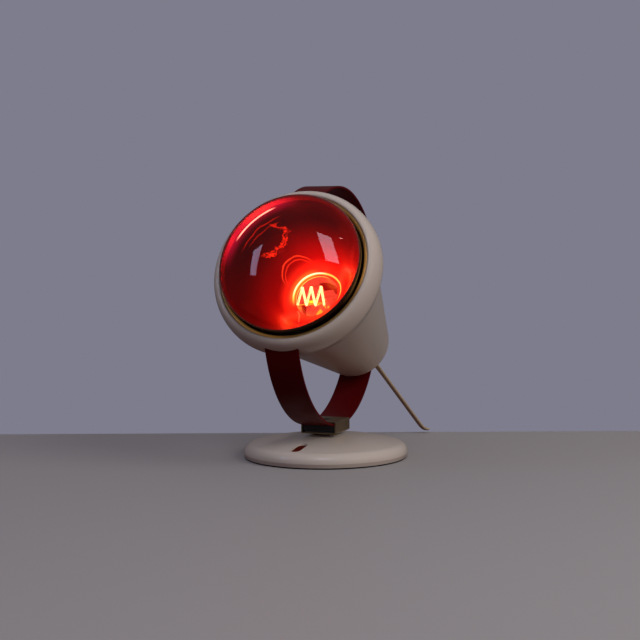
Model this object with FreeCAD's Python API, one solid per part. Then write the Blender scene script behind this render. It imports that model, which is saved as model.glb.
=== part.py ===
"""Infrared heat therapy lamp: round base, box clamp, C-shaped band and bucket-shaped head.

Millimetres. The origin is on the table under the base's centre, +Z is up and the lamp
faces -Y. The band lies in the plane X = 0 and turns about its own centre, the line
X through (0, 0, band_centre_z). Head pieces are drawn in the head's own frame, whose
origin is the band's centre: X is the lamp's X, Y points to the head's top and Z runs
along the head's axis to the front. head_piece() places them at the resting tilt.
"""
import FreeCAD, Part
import math
import os

V = FreeCAD.Vector

# ---------------------------------------------------------------- driving sizes
rest_tilt = 26.7            # degrees the head looks up at rest

# base
foot_height = 1.2           # rubber ring under the base
foot_width = 8.0
foot_round = 0.6            # rounding of the ring's lower edges
foot_inset = 0.4            # ring to the shell's outer foot
base_radius = 70.3          # widest radius of the dome
base_crown_z = 19.5         # top of the flat land under the clamp
base_edge_z = 4.3           # height of the widest circle
base_edge_round = 8.5       # radius of the rounded edge
base_wall = 1.5
base_undercut = 1.0         # widest circle to the shell's foot
land_margin = 1.0           # flat land round the friction washer
bottom_plate_thickness = 1.2
ballast_inset = 13.3        # ballast's edge to the widest circle
ballast_thickness = 8.0
ballast_hub_radius = 15.0
slot_length = 21.0          # hanging slot, end to end, along the radius
slot_width = 9.0
slot_inset = 18.8           # slot's middle to the widest circle, at the front
slot_turn = -4.4            # degrees that the slot stands off the band's plane at rest
slot_margin = 1.5           # ballast to the slot's edge
bottom_screw_count = 3
bottom_screw_inset = 13.0   # screw circle to the ballast's edge
bottom_screw_radius = 1.9
bottom_screw_depth = 5.0    # in the ballast
bottom_screw_head_radius = 3.4
bottom_screw_head_height = 0.72

# pivot between base and clamp
stud_radius = 4.0
stud_head_radius = 7.0
stud_head_height = 2.0
stud_head_round = 0.8
stud_end_z = 2.6
washer_radius = 11.0
washer_thickness = 2.2
spring_radius = 9.5         # conical spring washer
spring_thickness = 0.8
spring_height = 1.5
spring_room = 2.5           # round the spring, in the ballast's recess
nut_across_flats = 13.0
nut_height = 4.6
nut_above_end = 1.0         # stud's end below the nut

# clamp
clamp_length = 34.0         # along Y, open at both ends
clamp_wall = 1.0
clamp_inner_bend = 0.4      # inner radius of the box's four folds
clamp_inner_height = 8.6
clamp_hole_radius = 4.7     # round hole in the top for the glide's boss
block_inset = 1.0           # friction block's end in from the clamp's end
block_round = 0.6
glide_inset = 4.0
leaf_inset = 3.0
leaf_thickness = 0.4
leaf_rise = 0.8             # bow of the leaf spring under the block
leaf_side_gap = 1.75        # leaf spring to the clamp's side wall
boss_below_top = 0.3        # glide's boss under the clamp's top face
dimple_radius = 6.0         # ball that dishes the boss
dimple_depth = 0.6

# band
band_radius = 101.0         # middle of the strip
band_thickness = 1.6
band_width = 28.5
band_above_floor = 4.9      # band's lowest face over the clamp's inner floor
band_entry = 6.84           # where the band enters the front shell, ahead of the widest circle
tab_length = 6.0            # end tab inside the front shell
tab_overlap = 0.5           # tab to strip
rivet_radius = 1.5
rivet_head_radius = 2.4
rivet_head_height = 0.8
rivet_inset = 5.25          # rivets to the band's edges
rivet_ahead = 3.6           # rivets ahead of the band's entry

# head shells, from the front to the rear; the head's radii follow from the bulb's
shell_wall = 1.2
lip_length = 15.5           # widest circle to the lip's front, a quarter ellipse in section
lip_width = 7.0             # lip's inner edge, where it turns back, to the widest circle
flange_round = 1.6          # outer radius of the bend from lip to flange
flange_length = 5.0
shoulder_round = 12.0       # arc between the straight flank and the widest circle
flank_length = 19.0         # widest circle to the front shell's rear edge
flank_rise = 7.2            # widest circle over the rear edge
seam_step = 1.6             # front shell's rear edge over the rear housing
spigot_length = 7.0
spigot_rim = 2.5            # length of the spigot's flared rim
rear_radius = 30.5          # where the taper would meet the rear wall
rear_round = 5.0
rear_gap = 5.17             # rear wall's corner to the band

# brass ring
brass_width = 2.6
brass_depth = 6.0
brass_inset = 1.3           # behind the lip's front
brass_round = 1.5

# reflector bulb
bulb_radius = 59.6
bulb_ring_gap = 0.8         # bulb to the brass ring
bulb_rim_ahead = 7.0        # bulb's rim ahead of the lip's front
bulb_dome_height = 20.0
bulb_edge_round = 9.5
glass_thickness = 1.0
bulb_rim_depth = 6.0        # straight band of the bowl behind the dome
neck_radius = 20.0
neck_length = 48.0          # straight neck behind the reflecting bowl
neck_seal_length = 10.0     # taper from the neck to the cap
cap_radius = 13.2
cap_length = 24.0
cap_wall = 0.8              # depth of the thread's rolled rings and of the sheet
cap_turns = 5               # rolled rings
cap_lip = 2.0               # cap's plain front edge before the first ring
cap_taper = 4.0             # cap's tapered end behind the last ring
cap_button_radius = 5.0
cap_button_height = 2.5
cap_insulator_depth = 1.5
filament_ahead = 10.0       # filament ahead of the neck
filament_low = 4.0          # filament's middle under the bulb's axis
filament_width = 24.0
filament_height = 17.0
filament_peaks = 3
filament_radius = 0.8
stem_radius = 4.5
support_length = 22.0       # stem's top to the filament
stem_foot_height = 2.0
support_radius = 0.5

# lampholder and its bridge
sleeve_wall = 0.5
sleeve_length = 17.0
holder_radius = 20.0
holder_length = 33.0
holder_floor = 4.0
holder_step = 2.0           # front part of the lampholder is this much slimmer
holder_step_z = 14.0        # from the lampholder's back
holder_round = 1.5
contact_well = 4.0          # room round the cap's button
contact_width = 6.0
contact_thickness = 0.5
contact_height = 5.3        # sprung contact under the cap's button
bridge_thickness = 1.5
bridge_width = 14.0
bridge_leg_height = 15.0    # from the rear wall's inner face to the lampholder
bridge_half_span = 13.0
bridge_toe_inset = 3.5      # bridge's feet to the rear wall's rounded edge
wall_screw_radius = 2.0
wall_screw_head_radius = 3.5
wall_screw_head_height = 2.0
small_screw_radius = 1.5
small_screw_head_radius = 2.8
small_screw_head_height = 1.6
holder_screw_offset = 8.0
terminal_offset = 14.0
terminal_depth = 7.0
screw_tip_room = 1.0        # bores are deeper than their screws
lead_radius = 0.9
core_offset = 1.2           # each wire from the cord's axis
near_slack = (2.2, 3.5, 3.0)    # near wire's bend, from the end of the grip
far_slack = (-8.0, 3.0, 2.0)    # far wire's bends
far_rise = (5.0, -1.5, -1.0)    # and its last one, from the terminal

# cord, a flat twin lead whose solids are round tubes of its width
cord_width = 5.0
cord_exit_inset = 8.12      # cord's axis in from rear_radius
cord_exit_angle = -39.38    # degrees from the head's X
grommet_radius = 3.9
grommet_waist = 0.8         # flange over the hole in the rear wall
grommet_length = 5.0
grommet_flange = 1.4
grommet_inner_flange = 1.0
grommet_nose_round = 0.3
grip_length = 6.0
grip_side = 8.0
grip_round = 1.2
coil_centre = (10.5, 202.0)
coil_middle_radius = 27.0
coil_section_width = 15.0
coil_section_height = 11.5
coil_low_z = 0.7            # underside of the coil, on the tie's thickness
coil_low_round = 3.0
coil_top_round = 4.0
tie_thickness = 0.6
tie_width = 8.0
tie_turn = -50.0            # degrees round the coil, from its rear towards -X
plug_x = -45.0
plug_rear_y = 203.0
plug_width = 35.0
plug_thickness = 13.6
plug_length = 35.0
plug_neck_width = 14.0
plug_neck_length = 6.0
plug_round = 2.2
plug_shoulder = 15.75       # taper's start, from the plug's rear
plug_shoulder_round = 8.0
plug_neck_round = 10.0
plug_corner_round = 2.0
pin_radius = 2.0
pin_length = 19.0
pin_root = 6.0              # inside the plug
pin_root_radius = 1.6
pin_tip = 1.0
pin_spacing = 19.0

# ---------------------------------------------------------------- clearances
turn_gap = 0.08             # stud in the base's bore
slide_gap = 0.10            # band to friction block and to glide
side_gap = 0.50             # band's edge to the clamp's side wall
fit_gap = 0.25              # pieces that drop into one another
slot_gap = 0.35             # band in the front shell's slots
slot_lead = 2.0             # slot ahead of the band's end, degrees about the band's centre
slot_sweep = 20.0           # slot behind the band's end, out through the skin
bulb_gap = 0.15             # bulb cap in the sleeve

# ---------------------------------------------------------------- derived sizes
clamp_z = base_crown_z + washer_thickness
clamp_floor_z = clamp_z + clamp_wall
clamp_ceiling_z = clamp_floor_z + clamp_inner_height
clamp_top_z = clamp_ceiling_z + clamp_wall
clamp_inner_width = band_width + 2 * side_gap
clamp_width = clamp_inner_width + 2 * clamp_wall
band_outer = band_radius + band_thickness / 2
band_inner = band_radius - band_thickness / 2
band_centre_z = clamp_floor_z + band_above_floor + band_outer
block_bottom_z = clamp_floor_z + leaf_thickness + leaf_rise
block_length = clamp_length - 2 * block_inset
glide_length = clamp_length - 2 * glide_inset
leaf_length = clamp_length - 2 * leaf_inset
leaf_width = clamp_inner_width - 2 * leaf_side_gap
bottom_plate_z = foot_height
ballast_z = bottom_plate_z + bottom_plate_thickness
ballast_radius = base_radius - ballast_inset
slot_centre = base_radius - slot_inset
bottom_screw_circle = ballast_radius - bottom_screw_inset
rivet_spacing = band_width - 2 * rivet_inset

# radii of the head, from the bulb outwards
brass_inner_radius = bulb_radius + bulb_ring_gap
brass_outer_radius = brass_inner_radius + brass_width
lip_inner_radius = brass_outer_radius + flange_round
widest_radius = lip_inner_radius + lip_width
seam_radius = widest_radius - flank_rise
housing_radius = seam_radius - shell_wall - seam_step


def lip_line(ahead, depth):
    """Radius, ahead of the widest circle, of the surface depth under the lip's skin."""
    return lip_inner_radius + (lip_width - depth) * math.sqrt(1 - (ahead / (lip_length - depth)) ** 2)


# z along the head's axis, from the band's centre to the front
entry_radius = lip_line(band_entry, shell_wall + band_thickness / 2)
entry_z = math.sqrt(band_radius ** 2 - entry_radius ** 2)
entry_angle = math.degrees(math.asin(entry_radius / band_radius))
rivet_z = entry_z + rivet_ahead
widest_z = entry_z - band_entry
lip_front_z = widest_z + lip_length
brass_front_z = lip_front_z - brass_inset
seam_z = widest_z - flank_length
rear_z = -math.sqrt((band_inner - rear_gap) ** 2 - rear_radius ** 2)
inner_wall_z = rear_z + shell_wall
holder_back_z = inner_wall_z + bridge_leg_height
contact_seat_z = holder_back_z + holder_floor
button_z = contact_seat_z + contact_height
cap_back_z = button_z + cap_button_height
cap_front_z = cap_back_z + cap_length
neck_end_z = cap_front_z + neck_seal_length
bowl_neck_z = neck_end_z + neck_length
filament_z = bowl_neck_z + filament_ahead
stem_top_z = filament_z - support_length
bulb_rim_z = lip_front_z + bulb_rim_ahead
cord_exit_x = (rear_radius - cord_exit_inset) * math.cos(math.radians(cord_exit_angle))
cord_exit_y = (rear_radius - cord_exit_inset) * math.sin(math.radians(cord_exit_angle))

# the flank's straight line leaves the seam and touches the shoulder's arc
_shoulder_r = widest_radius - shoulder_round
_to_shoulder = math.hypot(flank_length, _shoulder_r - seam_radius)
flank_angle = math.asin(shoulder_round / _to_shoulder) + math.atan2(_shoulder_r - seam_radius, flank_length)
rear_slope = (housing_radius - rear_radius) / (seam_z - rear_z)
rear_angle = math.atan(rear_slope)


def rear_line(z, depth=0.0):
    """Radius of the rear housing's skin at z, or of a surface that lies depth under it."""
    return housing_radius + (z - seam_z) * rear_slope - depth / math.cos(rear_angle)


# ---------------------------------------------------------------- helpers
def corner_arc(before, corner, after, radius):
    """Tangent points and middle of the arc that rounds a corner."""
    a = (before - corner).normalize()
    b = (after - corner).normalize()
    half = a.getAngle(b) / 2
    reach = radius / math.tan(half)
    start = corner + a * reach
    end = corner + b * reach
    centre = corner + (a + b).normalize() * (radius / math.sin(half))
    middle = centre + (corner - centre).normalize() * radius
    return start, middle, end


def path_edges(points, radii, closed):
    """Straight runs between points, with tangent arcs of the given radii at the corners."""
    count = len(points)
    edges = []
    last = None
    first = None
    for i in range(count):
        if radii[i] > 0 and (closed or 0 < i < count - 1):
            start, middle, end = corner_arc(points[i - 1], points[i], points[(i + 1) % count], radii[i])
        else:
            start, middle, end = points[i], None, points[i]
        if last is not None and (start - last).Length > 1e-6:
            edges.append(Part.LineSegment(last, start).toShape())
        if middle is not None:
            edges.append(Part.Arc(start, middle, end).toShape())
        if first is None:
            first = start
        last = end
    if closed and (first - last).Length > 1e-6:
        edges.append(Part.LineSegment(last, first).toShape())
    return edges


def face_xz(points):
    """Face in the plane Y = 0 from (x, z) or (x, z, corner radius) points."""
    corners = [V(p[0], 0, p[1]) for p in points]
    radii = [p[2] if len(p) > 2 else 0 for p in points]
    return Part.Face(Part.Wire(path_edges(corners, radii, True)))


def turned(points):
    """Solid of revolution about Z from an outline of (radius, z) points."""
    return face_xz(points).revolve(V(0, 0, 0), V(0, 0, 1), 360)


def disc(radius, z0, z1, x=0.0, y=0.0):
    return Part.makeCylinder(radius, z1 - z0, V(x, y, z0))


def ring(outer, inner, z0, z1, x=0.0, y=0.0):
    return disc(outer, z0, z1, x, y).cut(disc(inner, z0, z1, x, y))


def block(size_x, size_y, z0, z1, x=0.0, y=0.0):
    """Box centred on (x, y)."""
    return Part.makeBox(size_x, size_y, z1 - z0, V(x - size_x / 2, y - size_y / 2, z0))


def slot_prism(margin, z0, z1):
    """The base's round-ended slot, radial, with a margin all round."""
    r = slot_width / 2 + margin
    half = (slot_length - slot_width) / 2
    prism = block(2 * r, 2 * half, z0, z1, 0, -slot_centre)
    for end in (-half, half):
        prism = prism.fuse(disc(r, z0, z1, 0, end - slot_centre))
    prism.rotate(V(0, 0, 0), V(0, 0, 1), slot_turn)
    return prism.removeSplitter()


def group(shapes):
    """Separate solids kept together as one sub-part."""
    return Part.makeCompound(shapes)


def moved(shape, x, y, z):
    """Copy of a piece at another place."""
    copy = shape.copy()
    copy.translate(V(x, y, z))
    return copy


def swept(points, radius, radii=None):
    """Round bar along straight runs joined by tangent arcs."""
    points = [V(*p) for p in points]
    if radii is None:
        radii = route_radii(points)
    wire = Part.Wire(path_edges(points, radii, False))
    start = points[0]
    circle = Part.Circle(start, (points[1] - start).normalize(), radius).toShape()
    return wire.makePipeShell([Part.Wire(circle)], True, True), wire.Length


def route_radii(points):
    """Arc radii of a route, each as large as the runs beside it allow."""
    radii = [0.0] * len(points)
    for i in range(1, len(points) - 1):
        before = points[i] - points[i - 1]
        after = points[i + 1] - points[i]
        turn = before.getAngle(after)
        radii[i] = 0.45 * min(before.Length, after.Length) / math.tan(turn / 2)
    return radii


def upright(shape):
    """Turns a solid drawn about Z so that its Z points to the head's top (Y)."""
    turned_shape = shape.copy()
    turned_shape.rotate(V(0, 0, 0), V(1, 0, 0), -90)
    return turned_shape


def head_piece(shape):
    """Places a piece drawn in the head's frame at the resting tilt."""
    placed = shape.copy()
    placed.rotate(V(0, 0, 0), V(1, 0, 0), 90 - rest_tilt)
    placed.translate(V(0, 0, band_centre_z))
    return placed


def head_point(x, y, z):
    """A point of the head's frame, in the lamp's frame."""
    tilt = math.radians(rest_tilt)
    return (
        x,
        y * math.sin(tilt) - z * math.cos(tilt),
        band_centre_z + y * math.cos(tilt) + z * math.sin(tilt),
    )


def bowed_leaf(length, width, thickness, rise, z):
    """Leaf spring along Y, its ends on z and its crest rise higher."""
    half = length / 2
    low = Part.Arc(V(0, -half, z), V(0, 0, z + rise), V(0, half, z)).toShape()
    high = Part.Arc(V(0, half, z + thickness), V(0, 0, z + rise + thickness),
                    V(0, -half, z + thickness)).toShape()
    ends = [Part.LineSegment(V(0, half, z), V(0, half, z + thickness)).toShape(),
            Part.LineSegment(V(0, -half, z + thickness), V(0, -half, z)).toShape()]
    face = Part.Face(Part.Wire([low, ends[0], high, ends[1]]))
    face.translate(V(-width / 2, 0, 0))
    return face.extrude(V(width, 0, 0))


slit_share = 0.25           # driver slit's width and floor, as shares of a screw head's radius and height
slit_floor_share = 0.55


def round_head_screw(shank, length, head, head_height):
    """Screw along Z with its head under z = 0 and its shank above."""
    crown = Part.makeSphere(head, V(0, 0, 0)).common(disc(head, -head, 0))
    squash = FreeCAD.Matrix()
    squash.scale(1, 1, head_height / head)
    crown = crown.transformGeometry(squash)
    slit = block(3 * head, slit_share * head, -head_height, -slit_floor_share * head_height)
    return crown.cut(slit).fuse(disc(shank, 0, length))


# ---------------------------------------------------------------- base
def dome(radius, edge_round, edge_z, top_z, depth, foot):
    """Solid under a dome, or under the surface depth inside it.

    The crown is a sphere about the axis, tangent to the edge's round, whose widest circle
    lies at edge_z. foot holds the (radius, z) points from there to the axis.
    """
    centre_r = radius - edge_round
    drop = top_z - edge_z
    # |crown centre - edge centre| = crown radius - edge radius
    crown = (centre_r ** 2 + drop ** 2 - edge_round ** 2) / (2 * (drop - edge_round))
    crown_centre = V(0, 0, top_z - crown)
    edge_centre = V(centre_r, 0, edge_z)
    to_edge = (edge_centre - crown_centre).normalize()
    tangent = crown_centre + to_edge * (crown - depth)
    top = V(0, 0, top_z - depth)
    half_way = crown_centre + (to_edge + V(0, 0, 1)).normalize() * (crown - depth)
    widest = edge_centre + V(edge_round - depth, 0, 0)
    bulge = edge_centre + (to_edge + V(1, 0, 0)).normalize() * (edge_round - depth)
    corners = [widest] + [V(r, 0, z) for r, z in foot] + [top]
    edges = [Part.Arc(top, half_way, tangent).toShape(), Part.Arc(tangent, bulge, widest).toShape()]
    edges += [Part.LineSegment(a, b).toShape() for a, b in zip(corners, corners[1:])]
    return Part.Face(Part.Wire(edges)).revolve(V(0, 0, 0), V(0, 0, 1), 360)


def dome_solid(depth, z0, foot_radius):
    """Solid under the base's skin (or under a surface depth inside it), down to z0."""
    foot = [(foot_radius, z0), (0, z0)]
    return dome(base_radius, base_edge_round, base_edge_z, base_crown_z, depth, foot)


foot_outer = base_radius - base_undercut
inner_rim = foot_outer - base_wall
pivot_seat_z = stud_end_z + nut_above_end + nut_height + spring_height
recess_radius = spring_radius + spring_room


def base_shell():
    skin = dome_solid(0, foot_height, foot_outer)
    hollow = dome_solid(base_wall, foot_height, inner_rim)
    shell = skin.cut(hollow)
    land = disc(washer_radius + land_margin, base_crown_z - 2 * base_wall, base_crown_z)
    shell = shell.fuse(land.cut(dome_solid(2 * base_wall, foot_height, inner_rim - base_wall)))
    shell = shell.cut(disc(stud_radius + turn_gap, 0, base_crown_z + 1))
    return shell.cut(slot_prism(0, 0, base_crown_z)).removeSplitter()


def ballast():
    hub_top = base_crown_z - 2 * base_wall
    hub = disc(ballast_hub_radius, ballast_z, hub_top).common(
        dome_solid(2 * base_wall, 0, inner_rim - base_wall))
    weight = disc(ballast_radius, ballast_z, ballast_z + ballast_thickness)
    weight = weight.common(dome_solid(base_wall + fit_gap, 0, inner_rim - fit_gap))
    weight = weight.fuse(hub).cut(disc(stud_radius + turn_gap, 0, base_crown_z))
    weight = weight.cut(disc(recess_radius, 0, pivot_seat_z))
    weight = weight.cut(slot_prism(slot_margin, 0, base_crown_z))
    for x, y in screw_places():
        weight = weight.cut(disc(bottom_screw_radius, ballast_z, ballast_z + bottom_screw_depth, x, y))
    return weight.removeSplitter()


def screw_places():
    """Centres of the bottom screws, clear of the hanging slot."""
    step = 2 * math.pi / bottom_screw_count
    return [(bottom_screw_circle * math.sin(i * step), bottom_screw_circle * math.cos(i * step))
            for i in range(bottom_screw_count)]


def bottom_plate():
    plate = ring(inner_rim - fit_gap, recess_radius, bottom_plate_z, ballast_z)
    plate = plate.cut(slot_prism(slot_margin / 3, 0, ballast_z + 1))
    for x, y in screw_places():
        plate = plate.cut(disc(bottom_screw_radius, 0, ballast_z + 1, x, y))
    return plate


def foot_ring():
    outer = foot_outer - foot_inset
    inner = foot_outer - foot_width
    return turned([(inner, 0, foot_round), (outer, 0, foot_round),
                   (outer, foot_height), (inner, foot_height)])


def bottom_screws():
    length = bottom_plate_thickness + bottom_screw_depth
    screw = round_head_screw(bottom_screw_radius, length, bottom_screw_head_radius, bottom_screw_head_height)
    return group([moved(screw, x, y, bottom_plate_z) for x, y in screw_places()])


# ---------------------------------------------------------------- pivot
def pivot_washer():
    return ring(washer_radius, stud_radius + turn_gap, base_crown_z, clamp_z)


def pivot_stud():
    """Head on the clamp's floor, shank down to the nut."""
    head = turned([(0, clamp_floor_z), (stud_head_radius, clamp_floor_z),
                   (stud_head_radius, clamp_floor_z + stud_head_height, stud_head_round),
                   (0, clamp_floor_z + stud_head_height)])
    return head.fuse(disc(stud_radius, stud_end_z, clamp_floor_z)).removeSplitter()


def pivot_spring():
    low = pivot_seat_z - spring_height
    rise = spring_height - spring_thickness
    bore = stud_radius + turn_gap
    return turned([(bore, low), (spring_radius, low + rise),
                   (spring_radius, pivot_seat_z), (bore, low + spring_thickness)])


def pivot_nut():
    top = pivot_seat_z - spring_height
    corner = nut_across_flats / math.sqrt(3)
    points = [V(corner * math.cos(math.radians(60 * i)), corner * math.sin(math.radians(60 * i)), 0)
              for i in range(7)]
    prism = Part.Face(Part.makePolygon(points)).extrude(V(0, 0, nut_height))
    prism.translate(V(0, 0, top - nut_height))
    chamfer = turned([(0, top - nut_height), (nut_across_flats / 2, top - nut_height),
                      (corner, top - nut_height + 1), (corner, top), (0, top)])
    return prism.common(chamfer).cut(disc(stud_radius, 0, top))


# ---------------------------------------------------------------- clamp
def band_arc_cut(radius):
    """Cylinder about the band's centre line, as long as the clamp is wide."""
    return Part.makeCylinder(radius, 2 * clamp_width, V(-clamp_width, 0, band_centre_z), V(1, 0, 0))


def clamp_channel():
    """Folded sheet box with bent corners, open at its ends."""
    def section(width, low, high, bend):
        half = width / 2
        return face_xz([(-half, low, bend), (half, low, bend), (half, high, bend), (-half, high, bend)])

    outside = section(clamp_width, clamp_z, clamp_top_z, clamp_inner_bend + clamp_wall)
    inside = section(clamp_inner_width, clamp_floor_z, clamp_ceiling_z, clamp_inner_bend)
    box = outside.cut(inside).extrude(V(0, clamp_length, 0))
    box.translate(V(0, -clamp_length / 2, 0))
    box = box.cut(disc(clamp_hole_radius, clamp_ceiling_z - 1, clamp_top_z + 1))
    return box.cut(disc(stud_radius, clamp_z - 1, clamp_floor_z + 1))


def friction_block():
    """Black block with a seat that follows the band and a pocket for the stud's head."""
    width = clamp_inner_width - 2 * fit_gap
    body = block(width, block_length, block_bottom_z, clamp_ceiling_z)
    body = body.cut(band_arc_cut(band_outer + slide_gap))
    pocket_top = clamp_floor_z + stud_head_height + fit_gap
    pocket = disc(stud_head_radius + fit_gap, clamp_floor_z, pocket_top)
    body = body.cut(pocket)
    return body.makeFillet(block_round, [e for e in body.Edges if vertical(e)])


def vertical(edge):
    """Whether an edge is a straight upright one."""
    a, b = edge.Vertexes[0].Point, edge.Vertexes[-1].Point
    return edge.Curve.TypeId == "Part::GeomLine" and abs(a.z - b.z) > 0.9 * edge.Length > 0.5


def leaf_spring():
    leaf = bowed_leaf(leaf_length, leaf_width, leaf_thickness, leaf_rise, clamp_floor_z)
    return leaf.cut(disc(stud_head_radius + fit_gap, clamp_floor_z - 1, block_bottom_z + 1))


def top_glide():
    """Pad between the band and the top plate, with the boss that locates it."""
    width = clamp_inner_width - 2 * fit_gap - 2 * clamp_inner_bend
    pad = block(width, glide_length, clamp_ceiling_z - clamp_inner_height / 2, clamp_ceiling_z)
    pad = pad.common(band_arc_cut(band_inner - slide_gap))
    boss_top = clamp_top_z - boss_below_top
    boss = disc(clamp_hole_radius, clamp_ceiling_z - clamp_wall / 2, boss_top)
    dimple = Part.makeSphere(dimple_radius, V(0, 0, boss_top + dimple_radius - dimple_depth))
    return pad.fuse(boss).cut(dimple).removeSplitter()


# ---------------------------------------------------------------- band
def band_sector(outer, inner, width, start, end):
    """Whole ring about X and the wedge between two angles off the head's axis, in degrees."""
    side = V(-width / 2, 0, 0)
    full = Part.makeCylinder(outer, width, side, V(1, 0, 0))
    full = full.cut(Part.makeCylinder(inner, width, side, V(1, 0, 0)))
    reach = 3 * outer
    a, b = math.radians(start), math.radians(end)
    middle = (a + b) / 2
    wedge = Part.Face(Part.makePolygon([
        V(-width, 0, 0), V(-width, reach * math.sin(a), reach * math.cos(a)),
        V(-width, reach * math.sin(middle), reach * math.cos(middle)),
        V(-width, reach * math.sin(b), reach * math.cos(b)), V(-width, 0, 0)]))
    return full, wedge.extrude(V(2 * width, 0, 0))


def band_tab():
    """End tab that lies on the inside of the front shell, top side."""
    layer = front_body(shell_wall).cut(front_body(shell_wall + band_thickness))
    reach = 2 * widest_radius
    window = Part.makeBox(band_width, reach, tab_length, V(-band_width / 2, 0, entry_z - tab_overlap))
    return layer.common(window)


def band():
    """C-shaped strip with both end tabs, drawn in the head's frame."""
    strip, opening = band_sector(band_outer, band_inner, band_width, -entry_angle, entry_angle)
    strip = strip.cut(opening)
    for tab in (band_tab(), mirrored(band_tab())):
        strip = strip.fuse(tab)
    for hole in rivet_bars(rivet_radius, 0):
        strip = strip.cut(hole)
    return strip.removeSplitter()


def mirrored(shape):
    """The same piece on the head's lower side."""
    return shape.mirror(V(0, 0, 0), V(0, 1, 0))


def rivet_bars(radius, low):
    """Upright bars at the four rivets, from the height low to outside the shell."""
    bars = []
    for x in (-rivet_spacing / 2, rivet_spacing / 2):
        bar = upright(disc(radius, low, 2 * widest_radius, x, -rivet_z))
        bars += [bar, mirrored(bar)]
    return bars


def band_rivets():
    """Flush outside, with a low head under each tab."""
    face = lip_line(band_entry + rivet_ahead, shell_wall + band_thickness)
    tab_y = math.sqrt(face ** 2 - (rivet_spacing / 2) ** 2)
    head_y = tab_y - rivet_head_height
    skin = front_body(0)
    room = front_body(shell_wall + band_thickness)
    pieces = []
    for x in (-rivet_spacing / 2, rivet_spacing / 2):
        shank = upright(disc(rivet_radius, head_y, 2 * widest_radius, x, -rivet_z)).common(skin)
        head = disc(rivet_head_radius, head_y - rivet_head_height, tab_y + rivet_head_radius, x, -rivet_z)
        rivet = shank.fuse(upright(head).common(room)).removeSplitter()
        pieces += [rivet, mirrored(rivet)]
    return group(pieces)


# ---------------------------------------------------------------- head shells
def front_edges(depth):
    """Flank, shoulder and lip of the front shell's skin, or of a surface depth under it.

    Runs from the seam to the front, in the plane Y = 0.
    """
    centre = V(widest_radius - shoulder_round, 0, widest_z)
    arc = shoulder_round - depth
    out = V(math.cos(flank_angle), 0, -math.sin(flank_angle))
    touch = centre + out * arc
    half_way = centre + (out + V(1, 0, 0)).normalize() * arc
    seam = touch - V(math.tan(flank_angle), 0, 1) * (touch.z - seam_z)
    widest = V(widest_radius - depth, 0, widest_z)
    front = V(lip_inner_radius, 0, lip_front_z - depth)
    middle = V(lip_inner_radius, 0, widest_z)
    flank = Part.LineSegment(seam, touch).toShape()
    shoulder = Part.Arc(touch, half_way, widest).toShape()
    lip = Part.Ellipse(front, widest, middle).toShape(0, math.pi / 2)
    return [flank, shoulder, lip], seam, front


def front_body(depth):
    """Solid inside the front shell's skin, or inside the surface depth under it."""
    edges, seam, front = front_edges(depth)
    low, high = V(0, 0, seam.z), V(0, 0, front.z)
    edges += [Part.LineSegment(front, high).toShape(), Part.LineSegment(high, low).toShape(),
              Part.LineSegment(low, seam).toShape()]
    return Part.Face(Part.Wire(edges)).revolve(V(0, 0, 0), V(0, 0, 1), 360)


def front_shell():
    """Pressed shell with a rounded lip, an inner flange and a slot for each band end."""
    bend = flange_round
    inner_bend = bend - shell_wall
    back = lip_front_z - bend - flange_length
    flange = turned([
        (lip_inner_radius, lip_front_z), (lip_inner_radius - bend, lip_front_z, bend),
        (lip_inner_radius - bend, back), (lip_inner_radius - inner_bend, back),
        (lip_inner_radius - inner_bend, lip_front_z - shell_wall, inner_bend),
        (lip_inner_radius, lip_front_z - shell_wall)])
    shell = front_body(0).cut(front_body(shell_wall))
    shell = shell.cut(disc(lip_inner_radius, seam_z, lip_front_z + 1)).fuse(flange)
    strip, window = band_sector(band_outer + slot_gap, band_inner - slot_gap, band_width + 2 * slot_gap,
                                entry_angle - slot_lead, entry_angle + slot_sweep)
    slot = strip.common(window)
    shell = shell.cut(slot).cut(mirrored(slot))
    for hole in rivet_bars(rivet_radius, lip_inner_radius):
        shell = shell.cut(hole)
    return shell.removeSplitter()


spigot_end = seam_z + spigot_length
rolled_z = spigot_end - spigot_rim


def seat_radius(z):
    """Inside of the front shell's straight flank at z."""
    return seam_radius + (z - seam_z) * math.tan(flank_angle) - shell_wall / math.cos(flank_angle)


def rear_housing():
    """Tapered can with a rounded closed rear and a spigot whose flared rim seats in the front shell."""
    outer = turned([(0, rear_z), (rear_radius, rear_z, rear_round),
                    (rear_line(seam_z), seam_z), (0, seam_z)])
    inner = turned([(0, inner_wall_z),
                    (rear_line(inner_wall_z, shell_wall), inner_wall_z, rear_round - shell_wall),
                    (rear_line(seam_z, shell_wall), seam_z), (0, seam_z)])
    spigot = ring(housing_radius, housing_radius - shell_wall / math.cos(rear_angle),
                  seam_z, seam_z + spigot_length)
    rim = turned([(housing_radius - shell_wall, rolled_z), (seat_radius(rolled_z), rolled_z),
                  (seat_radius(spigot_end), spigot_end), (housing_radius - shell_wall, spigot_end)])
    can = outer.cut(inner).fuse(spigot).fuse(rim)
    can = can.cut(disc(grommet_radius - grommet_waist, rear_z - 1, inner_wall_z + 1, cord_exit_x, cord_exit_y))
    for y in bridge_screw_places():
        can = can.cut(disc(wall_screw_radius, rear_z - 1, inner_wall_z + 1, 0, y))
    return can.removeSplitter()


def brass_ring():
    """Half-round brass ring that sits in the lip's flange around the bulb."""
    back = brass_front_z - brass_depth
    return turned([(brass_inner_radius, back), (brass_outer_radius, back),
                   (brass_outer_radius, brass_front_z, brass_round / 2),
                   (brass_inner_radius, brass_front_z, brass_round)])


# ---------------------------------------------------------------- bulb
insulator_radius = cap_button_radius + 1


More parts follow.
